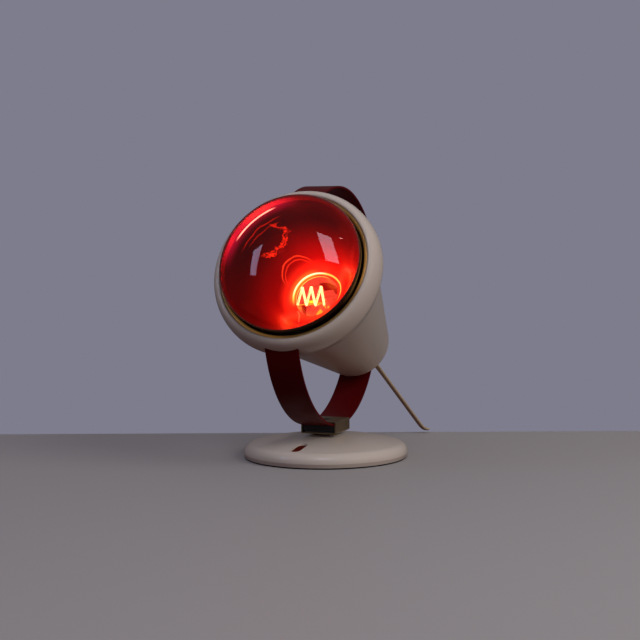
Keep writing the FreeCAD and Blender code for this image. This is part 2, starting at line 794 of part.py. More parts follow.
def bulb_lens():
    """Ruby dome with a rounded edge, open behind."""
    def under(depth):
        top_z = bulb_rim_z + bulb_dome_height
        return dome(bulb_radius, bulb_edge_round, bulb_rim_z, top_z, depth, [(0, bulb_rim_z)])

    return under(0).cut(under(glass_thickness))


def bowl_radius(z):
    """Parabola of the reflecting bowl, from the neck to the rim."""
    side = bulb_radius - glass_thickness / 2
    share = (z - bowl_neck_z) / (bulb_rim_z - bulb_rim_depth - bowl_neck_z)
    return math.sqrt(neck_radius ** 2 + share * (side ** 2 - neck_radius ** 2))


def bulb_reflector():
    """Aluminised bowl with its neck, open at the dome."""
    bowl_top_z = bulb_rim_z - bulb_rim_depth
    steps = 6
    heights = [bowl_neck_z + (bowl_top_z - bowl_neck_z) * (i / steps) ** 1.6 for i in range(steps + 1)]

    def body(depth):
        points = [V(bowl_radius(z) - depth, 0, z) for z in heights]
        curve = Part.BSplineCurve()
        curve.interpolate(points)
        rim = V(bulb_radius - depth, 0, bulb_rim_z)
        neck_end = V(neck_radius - glass_thickness - depth, 0, neck_end_z)
        seal = V(cap_radius - (glass_thickness + depth) / 2, 0, cap_front_z)
        corners = [points[-1], rim, V(0, 0, bulb_rim_z), V(0, 0, cap_front_z), seal, neck_end, points[0]]
        edges = [Part.LineSegment(a, b).toShape() for a, b in zip(corners, corners[1:])]
        return Part.Face(Part.Wire([curve.toShape()] + edges)).revolve(V(0, 0, 0), V(0, 0, 1), 360)

    return body(0).cut(body(glass_thickness))


def filament_points():
    """Knees of the zigzag, the first and the last of them low."""
    count = 2 * filament_peaks
    points = []
    for i in range(count + 1):
        x = -filament_width / 2 + filament_width * i / count
        rise = filament_height / 2 if i % 2 else -filament_height / 2
        points.append((x, rise - filament_low, filament_z))
    return points


def bar(start, end, radius):
    """Round bar between two points."""
    a, b = V(*start), V(*end)
    return Part.makeCylinder(radius, (b - a).Length, a, b - a)


def filament():
    """Zigzag coil, drawn as a round bar with rounded knees."""
    points = filament_points()
    wire = Part.makeSphere(filament_radius, V(*points[0]))
    for a, b in zip(points, points[1:]):
        wire = wire.fuse([bar(a, b, filament_radius), Part.makeSphere(filament_radius, V(*b))])
    return wire.removeSplitter()


def bulb_stem():
    """Flared glass stem that stands in the neck."""
    foot = cap_radius - 2 * glass_thickness
    waist_z = neck_end_z + 2 * stem_foot_height
    return turned([(0, cap_front_z), (foot, cap_front_z),
                   (foot, cap_front_z + stem_foot_height, stem_foot_height / 2),
                   (stem_radius, waist_z, 3 * stem_foot_height),
                   (stem_radius, stem_top_z, stem_foot_height), (0, stem_top_z)])


def filament_supports():
    """Two lead wires to the filament's ends and a support wire to each lower knee between."""
    reach = stem_radius / 2
    coil = filament()
    stem = bulb_stem()
    wires = []
    knees = filament_points()[::2]
    for i, knee in enumerate(knees):
        foot = (reach * (2 * i / (len(knees) - 1) - 1), -support_radius, stem_top_z)
        wires.append(bar(foot, knee, support_radius).cut(coil).cut(stem))
    return group(wires)


def bulb_cap():
    """Screw cap with rolled rings for its thread."""
    root = cap_radius - cap_wall
    bore = cap_radius - 3 * cap_wall
    mouth = cap_radius - 2 * glass_thickness
    outline = [(mouth, cap_front_z), (cap_radius, cap_front_z)]
    pitch = (cap_length - cap_lip - cap_taper) / cap_turns
    for i in range(cap_turns):
        z = cap_front_z - cap_lip - i * pitch
        outline += [(cap_radius, z, cap_wall), (root, z - pitch / 2, cap_wall)]
    outline += [
        (cap_radius - cap_wall / 2, cap_back_z + 0.6 * cap_taper, cap_wall),
        (insulator_radius + cap_wall, cap_back_z), (insulator_radius, cap_back_z),
        (insulator_radius, cap_back_z + cap_insulator_depth), (bore, cap_back_z + cap_taper),
        (bore, cap_front_z - cap_lip), (mouth, cap_front_z - cap_lip / 2)]
    return turned(outline)


def cap_contact():
    """Insulator and centre contact of the bulb cap."""
    inside = cap_back_z + cap_insulator_depth
    return turned([(0, button_z), (cap_button_radius - 1, button_z, cap_wall),
                   (cap_button_radius, cap_back_z - cap_wall), (insulator_radius, cap_back_z),
                   (insulator_radius, inside), (0, inside)])


# ---------------------------------------------------------------- lampholder
holder_front_z = holder_back_z + holder_length
sleeve_inner = cap_radius + bulb_gap
sleeve_outer = sleeve_inner + sleeve_wall
sleeve_back_z = cap_back_z - sleeve_wall
bridge_foot_length = rear_radius - rear_round - bridge_toe_inset - bridge_half_span


def holder_body():
    """Porcelain body, stepped outside, with the sleeve's bore and the contact's well."""
    slim = holder_radius - holder_step
    step_z = holder_back_z + holder_step_z
    body = turned([
        (0, holder_back_z), (holder_radius, holder_back_z, holder_round),
        (holder_radius, step_z, holder_round), (slim, step_z + holder_step, holder_round),
        (slim, holder_front_z, holder_round), (0, holder_front_z)])
    body = body.cut(disc(sleeve_outer, sleeve_back_z, holder_front_z))
    body = body.cut(disc(cap_button_radius + contact_well, contact_seat_z, cap_back_z))
    for y in (-holder_screw_offset, holder_screw_offset):
        body = body.cut(disc(small_screw_radius, holder_back_z, contact_seat_z - 0.1 * holder_floor, 0, y))
    terminal_end = holder_back_z + terminal_depth + screw_tip_room
    for x in (-terminal_offset, terminal_offset):
        body = body.cut(disc(small_screw_radius, holder_back_z, terminal_end, x, 0))
    return body


def holder_sleeve():
    return ring(sleeve_outer, sleeve_inner, sleeve_back_z, sleeve_back_z + sleeve_length)


def holder_contact():
    """Bowed strip between the well's floor and the cap's centre contact."""
    rise = button_z - contact_seat_z - contact_thickness
    length = 2 * (cap_button_radius + contact_well - 1)
    return bowed_leaf(length, contact_width, contact_thickness, rise, contact_seat_z)


def bridge_screw_places():
    y = bridge_half_span + bridge_foot_length / 2
    return (-y, y)


def holder_bracket():
    """Hat-shaped steel bridge that stands on the rear wall."""
    floor_z = inner_wall_z
    t = bridge_thickness
    span, toe = bridge_half_span, bridge_half_span + bridge_foot_length
    under_z = holder_back_z - t
    outline = [(-toe, floor_z), (-span + t, floor_z), (-span + t, under_z), (span - t, under_z),
               (span - t, floor_z), (toe, floor_z), (toe, floor_z + t), (span, floor_z + t),
               (span, holder_back_z), (-span, holder_back_z), (-span, floor_z + t), (-toe, floor_z + t),
               (-toe, floor_z)]
    side = Part.Face(Part.makePolygon([V(-bridge_width / 2, y, z) for y, z in outline]))
    hat = side.extrude(V(bridge_width, 0, 0))
    for y in bridge_screw_places():
        hat = hat.cut(disc(wall_screw_radius, rear_z, floor_z + 2 * t, 0, y))
    for y in (-holder_screw_offset, holder_screw_offset):
        hat = hat.cut(disc(small_screw_radius, holder_back_z - 2 * t, holder_back_z + 1, 0, y))
    return hat


def bracket_screws():
    """Two round-head screws from outside through the rear wall into the bridge's feet."""
    length = shell_wall + 2 * bridge_thickness
    screw = round_head_screw(wall_screw_radius, length, wall_screw_head_radius, wall_screw_head_height)
    return group([moved(screw, 0, y, rear_z) for y in bridge_screw_places()])


def small_screw(length):
    return round_head_screw(small_screw_radius, length, small_screw_head_radius, small_screw_head_height)


def holder_screws():
    screw = small_screw(bridge_thickness + 0.85 * holder_floor)
    return group([moved(screw, 0, y, holder_back_z - bridge_thickness)
                  for y in (-holder_screw_offset, holder_screw_offset)])


def terminal_screws():
    screw = small_screw(terminal_depth)
    return group([moved(screw, x, 0, holder_back_z) for x in (-terminal_offset, terminal_offset)])


def inner_lead(side):
    """Wire from the cord grip to a terminal: side is +1 for the near terminal, -1 for the far one."""
    start_z = inner_wall_z + grip_length
    end_z = holder_back_z - small_screw_head_height - lead_radius
    points = [(cord_exit_x + side * core_offset, cord_exit_y, start_z)]
    if side > 0:
        points.append((cord_exit_x + near_slack[0], cord_exit_y + near_slack[1], start_z + near_slack[2]))
    else:
        points.append((cord_exit_x + far_slack[0], cord_exit_y + far_slack[1], start_z + far_slack[2]))
        points.append((0, -far_slack[1], start_z + far_slack[2]))
        points.append((-terminal_offset + far_rise[0], far_rise[1], end_z + far_rise[2]))
    points.append((side * terminal_offset, 0, end_z))
    return swept(points, lead_radius)[0].cut(cord_inlet()).cut(cord_grip())


# ---------------------------------------------------------------- cord inlet
def grommet():
    """Beige bush: flange inside and outside the rear wall, with a tapered nose for the cord."""
    nose = rear_z - grommet_length
    back = inner_wall_z + grommet_inner_flange
    bore = cord_width / 2
    waist = grommet_radius - grommet_waist
    bush = turned([
        (bore, nose), (bore + grommet_waist, nose, grommet_nose_round),
        (grommet_radius, rear_z - grommet_flange, 1), (grommet_radius, rear_z), (waist, rear_z),
        (waist, inner_wall_z), (grommet_radius, inner_wall_z),
        (grommet_radius, back), (bore, back)])
    return moved(bush, cord_exit_x, cord_exit_y, 0)


def cord_inlet():
    """The cord inside the grommet, up to the grip."""
    front = inner_wall_z + grip_length
    return disc(cord_width / 2, rear_z - grommet_length, front, cord_exit_x, cord_exit_y)


def cord_grip():
    """Block that pinches the cord behind the grommet."""
    low = inner_wall_z + grommet_inner_flange
    body = block(grip_side, grip_side, low, inner_wall_z + grip_length, cord_exit_x, cord_exit_y)
    body = body.makeFillet(grip_round, [e for e in body.Edges if vertical(e)])
    return body.cut(disc(cord_width / 2, low - 1, low + grip_length, cord_exit_x, cord_exit_y))


# ---------------------------------------------------------------- free cord
floor_z = cord_width / 2
cord_start = head_point(cord_exit_x, cord_exit_y, rear_z - grommet_length)
run_route = [
    cord_start,
    head_point(cord_exit_x, cord_exit_y, rear_z - grommet_length - 12),
    (38.7, 160.5, floor_z),
    (41.3, 178.5, floor_z),
    (38.0, 196.0, floor_z),
]
tail_route = [
    (10.0, 230.5, floor_z),
    (-6.0, 232.0, floor_z),
    (-24.0, 230.5, 2.8),
    (-37.0, 223.5, 4.0),
    (-43.5, 213.0, 5.8),
    (plug_x, plug_rear_y, plug_thickness / 2),
]


def cord_tube(name, points):
    """Round tube along a route, with its arc radii and a volume check printed."""
    corners = [V(*p) for p in points]
    radii = route_radii(corners)
    tube, length = swept(points, cord_width / 2)
    ideal = math.pi * (cord_width / 2) ** 2 * length
    print(name, "radii", [round(r, 1) for r in radii[1:-1]], "length", round(length, 1),
          "volume ratio", round(tube.Volume / ideal, 4), "valid", tube.isValid())
    return tube


def coil_ring(grown):
    """Ring of the coil's section, larger by grown all round."""
    low = coil_low_z - grown
    high = coil_low_z + coil_section_height + grown
    inner = coil_middle_radius - coil_section_width / 2 - grown
    outer = coil_middle_radius + coil_section_width / 2 + grown
    return turned([(inner, low, coil_low_round), (outer, low, coil_low_round),
                   (outer, high, coil_top_round), (inner, high, coil_top_round)])


def cord_coil():
    """The put-away turns, as one ring of their outer shape."""
    return moved(coil_ring(0), coil_centre[0], coil_centre[1], 0)


def cord_run():
    return cord_tube("cord_run", run_route).cut(cord_coil())


def cord_tail():
    return cord_tube("cord_tail", tail_route).cut(cord_coil()).cut(plug_body())


def cord_tie():
    """Strap round the coil's section, clear of both ends of the cord."""
    reach = 2 * coil_middle_radius
    window = Part.makeBox(tie_width, reach, reach, V(-tie_width / 2, 0, -reach / 2))
    window.rotate(V(0, 0, 0), V(0, 0, 1), tie_turn)
    strap = coil_ring(tie_thickness).cut(coil_ring(0)).common(window)
    return moved(strap, coil_centre[0], coil_centre[1], 0)


# ---------------------------------------------------------------- plug
def plug_body():
    """Flat two-pin plug that lies on its wide side, tapered to the cord."""
    half = plug_width / 2
    neck = plug_neck_width / 2
    corner = plug_corner_round
    plan = [(-half, -plug_length, corner), (half, -plug_length, corner),
            (half, -plug_shoulder, plug_shoulder_round),
            (neck, -plug_neck_length, plug_neck_round), (neck - 1, 0, corner), (-neck + 1, 0, corner),
            (-neck, -plug_neck_length, plug_neck_round), (-half, -plug_shoulder, plug_shoulder_round)]
    corners = [V(x, y, 0) for x, y, _ in plan]
    wire = Part.Wire(path_edges(corners, [p[2] for p in plan], True))
    body = Part.Face(wire).extrude(V(0, 0, plug_thickness))
    level = [e for e in body.Edges if abs(e.CenterOfMass.z - plug_thickness / 2) > 1]
    body = moved(body.makeFillet(plug_round, level), plug_x, plug_rear_y, 0)
    return body.cut(plug_pins())


def plug_pins():
    """Two round pins along -Y with chamfered tips, rooted in the plug."""
    face_y = plug_rear_y - plug_length
    rod_length = pin_length - pin_tip
    tip_radius = pin_radius - 0.8 * pin_tip
    along = V(0, -1, 0)
    pins = []
    for x in (plug_x - pin_spacing / 2, plug_x + pin_spacing / 2):
        start = V(x, face_y, plug_thickness / 2)
        root = Part.makeCylinder(pin_root_radius, pin_root, start - along * pin_root, along)
        rod = Part.makeCylinder(pin_radius, rod_length, start, along)
        tip = Part.makeCone(pin_radius, tip_radius, pin_tip, start + along * rod_length, along)
        pins.append(rod.fuse([root, tip]))
    return group(pins)


# ---------------------------------------------------------------- the lamp
LAMP_PIECES = {
    "base_shell": base_shell,
    "ballast": ballast,
    "bottom_plate": bottom_plate,
    "foot_ring": foot_ring,
    "bottom_screws": bottom_screws,
    "pivot_washer": pivot_washer,
    "pivot_stud": pivot_stud,
    "pivot_spring": pivot_spring,
    "pivot_nut": pivot_nut,
    "clamp_channel": clamp_channel,
    "friction_block": friction_block,
    "leaf_spring": leaf_spring,
    "top_glide": top_glide,
    "cord_run": cord_run,
    "cord_coil": cord_coil,
    "cord_tail": cord_tail,
    "cord_tie": cord_tie,
    "plug_body": plug_body,
    "plug_pins": plug_pins,
}
HEAD_PIECES = {
    "band": band,
    "band_rivets": band_rivets,
    "front_shell": front_shell,
    "rear_housing": rear_housing,
    "brass_ring": brass_ring,
    "bulb_lens": bulb_lens,
    "bulb_reflector": bulb_reflector,
    "filament": filament,
    "bulb_stem": bulb_stem,
    "filament_supports": filament_supports,
    "bulb_cap": bulb_cap,
    "cap_contact": cap_contact,
    "holder_body": holder_body,
    "holder_sleeve": holder_sleeve,
    "holder_contact": holder_contact,
    "holder_bracket": holder_bracket,
    "holder_screws": holder_screws,
    "bracket_screws": bracket_screws,
    "terminal_screws": terminal_screws,
    "lead_live": lambda: inner_lead(1),
    "lead_neutral": lambda: inner_lead(-1),
    "grommet": grommet,
    "cord_inlet": cord_inlet,
    "cord_grip": cord_grip,
}


def main():
    os.makedirs("parts", exist_ok=True)
    shapes = {name: make() for name, make in LAMP_PIECES.items()}
    shapes.update({name: head_piece(make()) for name, make in HEAD_PIECES.items()})
    for name, shape in shapes.items():
        if not shape.isValid() or not shape.Solids:
            print("CHECK", name, shape.isValid(), len(shape.Solids))
        shape.exportStep(f"parts/{name}.step")
    print(len(shapes), "sub-parts, band centre z", round(band_centre_z, 2))


main()
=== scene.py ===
"""Looks of the infrared heat therapy lamp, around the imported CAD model. Metres, +Z up."""
import math

import bpy
from mathutils import Matrix, Vector


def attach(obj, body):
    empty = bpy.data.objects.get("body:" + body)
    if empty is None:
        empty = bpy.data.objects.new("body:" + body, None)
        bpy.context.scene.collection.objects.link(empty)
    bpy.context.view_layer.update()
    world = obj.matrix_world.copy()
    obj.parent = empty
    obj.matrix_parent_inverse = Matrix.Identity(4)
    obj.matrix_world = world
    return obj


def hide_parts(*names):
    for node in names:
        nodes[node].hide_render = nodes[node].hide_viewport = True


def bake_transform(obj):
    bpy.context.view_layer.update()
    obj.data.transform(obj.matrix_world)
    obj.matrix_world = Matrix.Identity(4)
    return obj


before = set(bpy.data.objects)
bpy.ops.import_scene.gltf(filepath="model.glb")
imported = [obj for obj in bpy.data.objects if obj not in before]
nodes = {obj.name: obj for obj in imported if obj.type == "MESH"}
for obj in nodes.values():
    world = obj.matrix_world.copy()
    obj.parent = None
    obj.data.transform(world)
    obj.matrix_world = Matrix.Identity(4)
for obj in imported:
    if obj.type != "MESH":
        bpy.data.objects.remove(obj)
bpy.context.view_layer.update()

# ---------------------------------------------------------------- the head's own frame
REST_TILT = math.radians(26.7)          # the head looks up by this much
BAND_CENTRE = Vector((0, 0, 0.1294))
HEAD_X = Vector((1, 0, 0))
HEAD_Y = Vector((0, math.sin(REST_TILT), math.cos(REST_TILT)))
HEAD_Z = Vector((0, -math.cos(REST_TILT), math.sin(REST_TILT)))        # out through the lens
UP = Vector((0, 0, 1))

# ---------------------------------------------------------------- camera
CAMERA_PLACE = Vector((0.4572024, -1.2022309, 0.2072848))
CAMERA_RIGHT = Vector((0.93371616, 0.35794365, -0.00710511))
CAMERA_UP = Vector((-0.01834003, 0.06764198, 0.99754108))
CAMERA_BACK = Vector((0.3575441, -0.93128991, 0.0697231))
CAMERA_LENS = 84.997                    # millimetres, as the sensor's width
SENSOR_WIDTH = 36

camera_data = bpy.data.cameras.new("camera")
camera_data.sensor_width = SENSOR_WIDTH
camera_data.lens = CAMERA_LENS
camera = bpy.data.objects.new("camera", camera_data)
bpy.context.scene.collection.objects.link(camera)
camera_turn = Matrix((CAMERA_RIGHT, CAMERA_UP, CAMERA_BACK)).transposed()
camera.matrix_world = Matrix.Translation(CAMERA_PLACE) @ camera_turn.to_4x4()
bpy.context.scene.camera = camera


# ---------------------------------------------------------------- meshes
def add_mesh(name, points, faces, material, smooth=True):
    mesh = bpy.data.meshes.new(name)
    mesh.from_pydata([tuple(p) for p in points], [], faces)
    mesh.update()
    for face in mesh.polygons:
        face.use_smooth = smooth
    mesh.materials.append(material)
    obj = bpy.data.objects.new(name, mesh)
    bpy.context.scene.collection.objects.link(obj)
    return obj


def directions(line):
    """Direction of the line at each of its points."""
    last = len(line) - 1
    return [(line[min(i + 1, last)] - line[max(i - 1, 0)]).normalized() for i in range(len(line))]


def rolling_axes(line):
    """Two axes across the line at each of its points, which turn as little as they can."""
    axes = []
    side = None
    for along in directions(line):
        side = along.orthogonal() if side is None else side - along * side.dot(along)
        side = side.normalized()
        axes.append((side, along.cross(side)))
    return axes


def level_axes(line):
    """Two axes across the line at each of its points, the first of them always level."""
    axes = []
    for along in directions(line):
        across = along.cross(UP).normalized()
        axes.append((across, across.cross(along)))
    return axes


def sweep(name, line, axes, section, material):
    """Closed mesh of a section, given along the two axes, that follows the line."""
    points = []
    for place, (first, second) in zip(line, axes):
        points += [place + first * a + second * b for a, b in section]
    n = len(section)
    end = (len(line) - 1) * n
    faces = [(i + j, i + (j + 1) % n, i + n + (j + 1) % n, i + n + j)
             for i in range(0, end, n) for j in range(n)]
    faces += [tuple(reversed(range(n))), tuple(range(end, end + n))]
    return add_mesh(name, points, faces, material)


# ---------------------------------------------------------------- materials by nodes
CLOUD = (0.35, 0.65)                    # the noise values between which a cloud turns from low to high
FACING = (-0.001, 0.001)                # leans between which a surface turns from inward to outward


class NodeTree:
    """Short calls that add nodes to a tree. A value is a number or the output of another node."""

    def __init__(self, tree):
        self.tree = tree

    def add(self, kind, **inputs):
        """New node with constants on its inputs."""
        node = self.tree.nodes.new(kind)
        for key, value in inputs.items():
            node.inputs[key.replace("_", " ")].default_value = value
        return node

    def link(self, source, target):
        self.tree.links.new(source, target)

    def compute(self, operation, *values):
        node = self.add("ShaderNodeMath")
        node.operation = operation
        for socket, value in zip(node.inputs, values):
            if isinstance(value, (int, float)):
                socket.default_value = value
            else:
                self.link(value, socket)
        return node.outputs["Value"]

    def plus(self, first, second):
        return self.compute("ADD", first, second)

    def minus(self, first, second):
        return self.compute("SUBTRACT", first, second)

    def times(self, *factors):
        total = factors[0]
        for factor in factors[1:]:
            total = self.compute("MULTIPLY", total, factor)
        return total

    def largest(self, *values):
        most = values[0]
        for value in values[1:]:
            most = self.compute("MAXIMUM", most, value)
        return most

    def fade(self, source, start, end, first=0.0, last=1.0):
        """Smooth step of the source, from first at start to last at end."""
        node = self.add("ShaderNodeMapRange", From_Min=start, From_Max=end, To_Min=first, To_Max=last)
        node.interpolation_type = "SMOOTHSTEP"
        self.link(source, node.inputs["Value"])
        return node.outputs["Result"]

    def between(self, weight, low, high):
        """low where the weight is 0, high where it is 1."""
        return self.fade(weight, 0.0, 1.0, low, high)

    def line(self, source, middle, core, edge):
        """1 within core of the middle, 0 beyond edge."""
        return self.fade(self.compute("ABSOLUTE", self.minus(source, middle)), core, edge, 1.0, 0.0)

    def sector(self, turn, middle, core, edge):
        """1 where the turn is within core degrees of the middle, 0 beyond edge."""
        off = self.compute("WRAP", self.minus(turn, math.radians(middle)), math.pi, -math.pi)
        return self.line(off, 0.0, math.radians(core), math.radians(edge))

    def noise(self, scale, detail=2.0):
        node = self.add("ShaderNodeTexNoise", Scale=scale, Detail=detail)
        self.link(self.add("ShaderNodeTexCoord").outputs["Object"], node.inputs["Vector"])
        return node.outputs["Fac"]

    def uneven(self, place, scale, size, detail=4.0):
        """The place, moved to and fro by a noise of this size."""
        return self.plus(place, self.times(self.minus(self.noise(scale, detail), 0.5), size))

    def curve(self, source, places):
        """Smooth curve through the places (source, value)."""
        node = self.add("ShaderNodeFloatCurve")
        points = node.mapping.curves[0].points
        points[0].location, points[1].location = places[0], places[-1]
        for place in places[1:-1]:
            points.new(*place)
        node.mapping.update()
        self.link(source, node.inputs["Value"])
        return node.outputs["Value"]

    def along(self, vector, axis):
        dot = self.add("ShaderNodeVectorMath")
        dot.operation = "DOT_PRODUCT"
        dot.inputs[1].default_value = axis
        self.link(vector, dot.inputs[0])
        return dot.outputs["Value"]

    def ramp(self, source, low, high, start=0.0, end=1.0):
        """Colour that runs from low at start to high at end."""
        node = self.add("ShaderNodeValToRGB")
        for stop, position, colour in zip(node.color_ramp.elements, (start, end), (low, high)):
            stop.position = position
            stop.color = (*colour, 1)
        self.link(source, node.inputs["Fac"])
        return node.outputs["Color"]

    def weighted_sum(self, parts):
        """Sum of colours, each times its weight."""
        total = None
        for weight, colour in parts:
            node = self.add("ShaderNodeVectorMath")
            node.operation = "MULTIPLY_ADD"
            self.link(weight, node.inputs[0])
            node.inputs[1].default_value = colour
            if total is not None:
                self.link(total, node.inputs[2])
            total = node.outputs["Vector"]
        return total

    def mix_shaders(self, share, first, second):
        node = self.add("ShaderNodeMixShader")
        for source, socket in zip((share, first, second), node.inputs):
            self.link(source, socket)
        return node.outputs["Shader"]


class Shader(NodeTree):
    """A material whose Principled sockets are set by keywords, or driven by nodes."""

    def __init__(self, name, **sockets):
        self.material = bpy.data.materials.new(name)
        self.material.use_nodes = True
        super().__init__(self.material.node_tree)
        self.principled = self.tree.nodes["Principled BSDF"]
        for key, value in sockets.items():
            is_colour = isinstance(value, tuple)
            self.principled.inputs[key.replace("_", " ")].default_value = (*value, 1) if is_colour else value

    def drive(self, socket, source):
        self.link(source, self.principled.inputs[socket])

    def cloud(self, scale, low, high):
        """Base colour that varies in soft patches between two colours."""
        self.drive("Base Color", self.ramp(self.noise(scale), low, high, *CLOUD))

    def bump(self, scale, detail, strength, distance):
        """Fine unevenness from noise."""
        node = self.add("ShaderNodeBump", Strength=strength, Distance=distance)
        self.link(self.noise(scale, detail), node.inputs["Height"])
        self.drive("Normal", node.outputs["Normal"])

    def head_place(self):
        """x, y and z of the surface in the head's frame at rest."""
        offset = self.add("ShaderNodeVectorMath")
        offset.operation = "SUBTRACT"
        offset.inputs[1].default_value = BAND_CENTRE
        self.link(self.add("ShaderNodeTexCoord").outputs["Object"], offset.inputs[0])
        return [self.along(offset.outputs["Vector"], axis) for axis in (HEAD_X, HEAD_Y, HEAD_Z)]

    def head_turn(self):
        """Distance of the surface from the head's axis, and its turn about it from the head's X."""
        x, y = self.head_place()[:2]
        radius = self.compute("SQRT", self.plus(self.times(x, x), self.times(y, y)))
        return radius, self.compute("ARCTAN2", y, x)

    def faces_out(self):
        """0 where the surface faces the head's axis, 1 where it faces away from it."""
        normal = self.add("ShaderNodeTexCoord").outputs["Normal"]
        x, y = self.head_place()[:2]
        lean = self.plus(self.times(x, self.along(normal, HEAD_X)), self.times(y, self.along(normal, HEAD_Y)))
        return self.fade(lean, *FACING)


def dress(shader, *names):
    for name in names:
        nodes[name].data.materials.clear()
        nodes[name].data.materials.append(shader.material)


# ---------------------------------------------------------------- metals, plastics and cord
PLAIN_LOOKS = [
    # name, metallic, roughness, colour, pieces
    ("black_rubber", 0.0, 0.85, (0.012, 0.010, 0.010), ["foot_ring"]),
    ("fibre", 0.0, 0.8, (0.06, 0.028, 0.018), ["pivot_washer"]),
    ("black_nylon", 0.0, 0.45, (0.008, 0.008, 0.010), ["friction_block", "top_glide", "cord_tie"]),
    ("nickel", 1.0, 0.22, (0.60, 0.58, 0.54), ["bulb_cap", "holder_sleeve"]),
    ("contact_brass", 1.0, 0.28, (0.62, 0.44, 0.18),
     ["holder_contact", "terminal_screws", "cap_contact", "plug_pins"]),
    ("porcelain", 0.0, 0.2, (0.78, 0.76, 0.70), ["holder_body"]),
    ("red_wire", 0.0, 0.5, (0.30, 0.01, 0.01), ["lead_live"]),
    ("black_wire", 0.0, 0.5, (0.01, 0.01, 0.01), ["lead_neutral"]),
]
for look_name, metallic, roughness, colour, pieces in PLAIN_LOOKS:
    dress(Shader(look_name, Metallic=metallic, Roughness=roughness, Base_Color=colour), *pieces)

cream = Shader("cream_lacquer", Roughness=0.38, Coat_Weight=0.45, Coat_Roughness=0.20)
cream.cloud(scale=9.0, low=(0.60, 0.50, 0.42), high=(0.64, 0.54, 0.455))
cream.bump(scale=220.0, detail=3.0, strength=0.05, distance=0.0002)
dress(cream, "base_shell", "front_shell", "rear_housing", "band_rivets")

burgundy = Shader("burgundy_lacquer", Roughness=0.36, Specular_IOR_Level=0.07)
burgundy.cloud(scale=14.0, low=(0.086, 0.0016, 0.0022), high=(0.100, 0.0020, 0.0028))
burgundy.bump(scale=160.0, detail=3.0, strength=0.08, distance=0.0002)
dress(burgundy, "band")

clamp_brass = Shader("clamp_brass", Metallic=0.85, Roughness=0.42)
clamp_brass.cloud(scale=40.0, low=(0.28, 0.21, 0.12), high=(0.36, 0.28, 0.16))
clamp_brass.bump(scale=400.0, detail=3.0, strength=0.15, distance=0.0002)
dress(clamp_brass, "clamp_channel")

# the ballast's faint glow stands for the red-brown light in the hanging slot
iron = Shader("cast_iron", Metallic=0.2, Roughness=0.75, Emission_Color=(0.030, 0.0030, 0.0018),
              Emission_Strength=1.0)
iron.cloud(scale=70.0, low=(0.16, 0.035, 0.022), high=(0.24, 0.060, 0.036))
iron.bump(scale=500.0, detail=4.0, strength=0.5, distance=0.0004)
dress(iron, "ballast")

zinc = Shader("zinc_steel", Metallic=0.95, Roughness=0.36)
zinc.cloud(scale=60.0, low=(0.42, 0.42, 0.40), high=(0.52, 0.52, 0.50))
dress(zinc, "bottom_plate", "bottom_screws", "pivot_stud", "pivot_spring", "pivot_nut", "leaf_spring",
      "holder_bracket", "holder_screws", "bracket_screws")

beige = Shader("beige_plastic", Roughness=0.42, Base_Color=(0.40, 0.29, 0.18))
beige.bump(scale=900.0, detail=2.0, strength=0.08, distance=0.0001)
dress(beige, "grommet", "cord_grip", "plug_body")


def cord_shader(name, low, high):
    look = Shader(name, Roughness=0.38, Coat_Weight=0.2, Coat_Roughness=0.25)
    look.cloud(scale=60.0, low=low, high=high)
    return look


first_strand = cord_shader("gold_cord", (0.56, 0.41, 0.28), (0.62, 0.46, 0.32))
second_strand = cord_shader("gold_cord_second", (0.50, 0.37, 0.23), (0.55, 0.41, 0.26))
dress(first_strand, "cord_run", "cord_coil", "cord_tail", "cord_inlet")

# ---------------------------------------------------------------- brass ring
# the ring's inner part is painted dark as shade; only its outer edge is bright brass, with a painted glow
# that is stronger at two painted glints
RING_SHADE_EDGE = (0.06042, 0.06065)          # radii between which the dark part turns bright
LOW_GLINT = (-112, 8, 42)               # middle, core and edge of its turn, in degrees
RIGHT_GLINT = (-2, 6, 26)

ring = Shader("polished_brass")
ring_radius, ring_turn = ring.head_turn()
ring_unshaded = ring.fade(ring_radius, *RING_SHADE_EDGE)
low_glint = ring.between(ring.sector(ring_turn, *LOW_GLINT), 0.30, 1.7)
right_glint = ring.between(ring.sector(ring_turn, *RIGHT_GLINT), 0.0, 2.4)
ring.drive("Base Color", ring.ramp(ring_unshaded, low=(0.016, 0.006, 0.004), high=(0.50, 0.29, 0.09)))
ring.drive("Roughness", ring.between(ring_unshaded, 0.55, 0.30))
ring.drive("Metallic", ring.between(ring_unshaded, 0.2, 0.6))
ring.drive("Emission Color", ring.ramp(ring_unshaded, low=(0.0, 0.0, 0.0), high=(0.045, 0.021, 0.004)))
ring.drive("Emission Strength", ring.plus(low_glint, right_glint))
dress(ring, "brass_ring")

# ---------------------------------------------------------------- bulb
ruby = Shader("ruby_glass", Roughness=0.02, IOR=1.35, Transmission_Weight=1.0,
              Base_Color=(0.80, 0.018, 0.012))
dress(ruby, "bulb_lens")

# the stem's glow is painted light from the filament
clear = Shader("clear_glass", Roughness=0.05, IOR=1.5, Transmission_Weight=1.0, Base_Color=(1.0, 0.8, 0.6),
               Emission_Color=(0.30, 1.2, 0.7), Emission_Strength=1.0)
dress(clear, "bulb_stem")

support = Shader("hot_nickel", Metallic=1.0, Roughness=0.3, Base_Color=(0.60, 0.58, 0.54),
                 Emission_Color=(0.08, 1.0, 0.08), Emission_Strength=16.0)
dress(support, "filament_supports")

tungsten = Shader("tungsten", Base_Color=(1.0, 0.6, 0.2), Emission_Color=(0.30, 1.0, 0.60),
                  Emission_Strength=72.0)


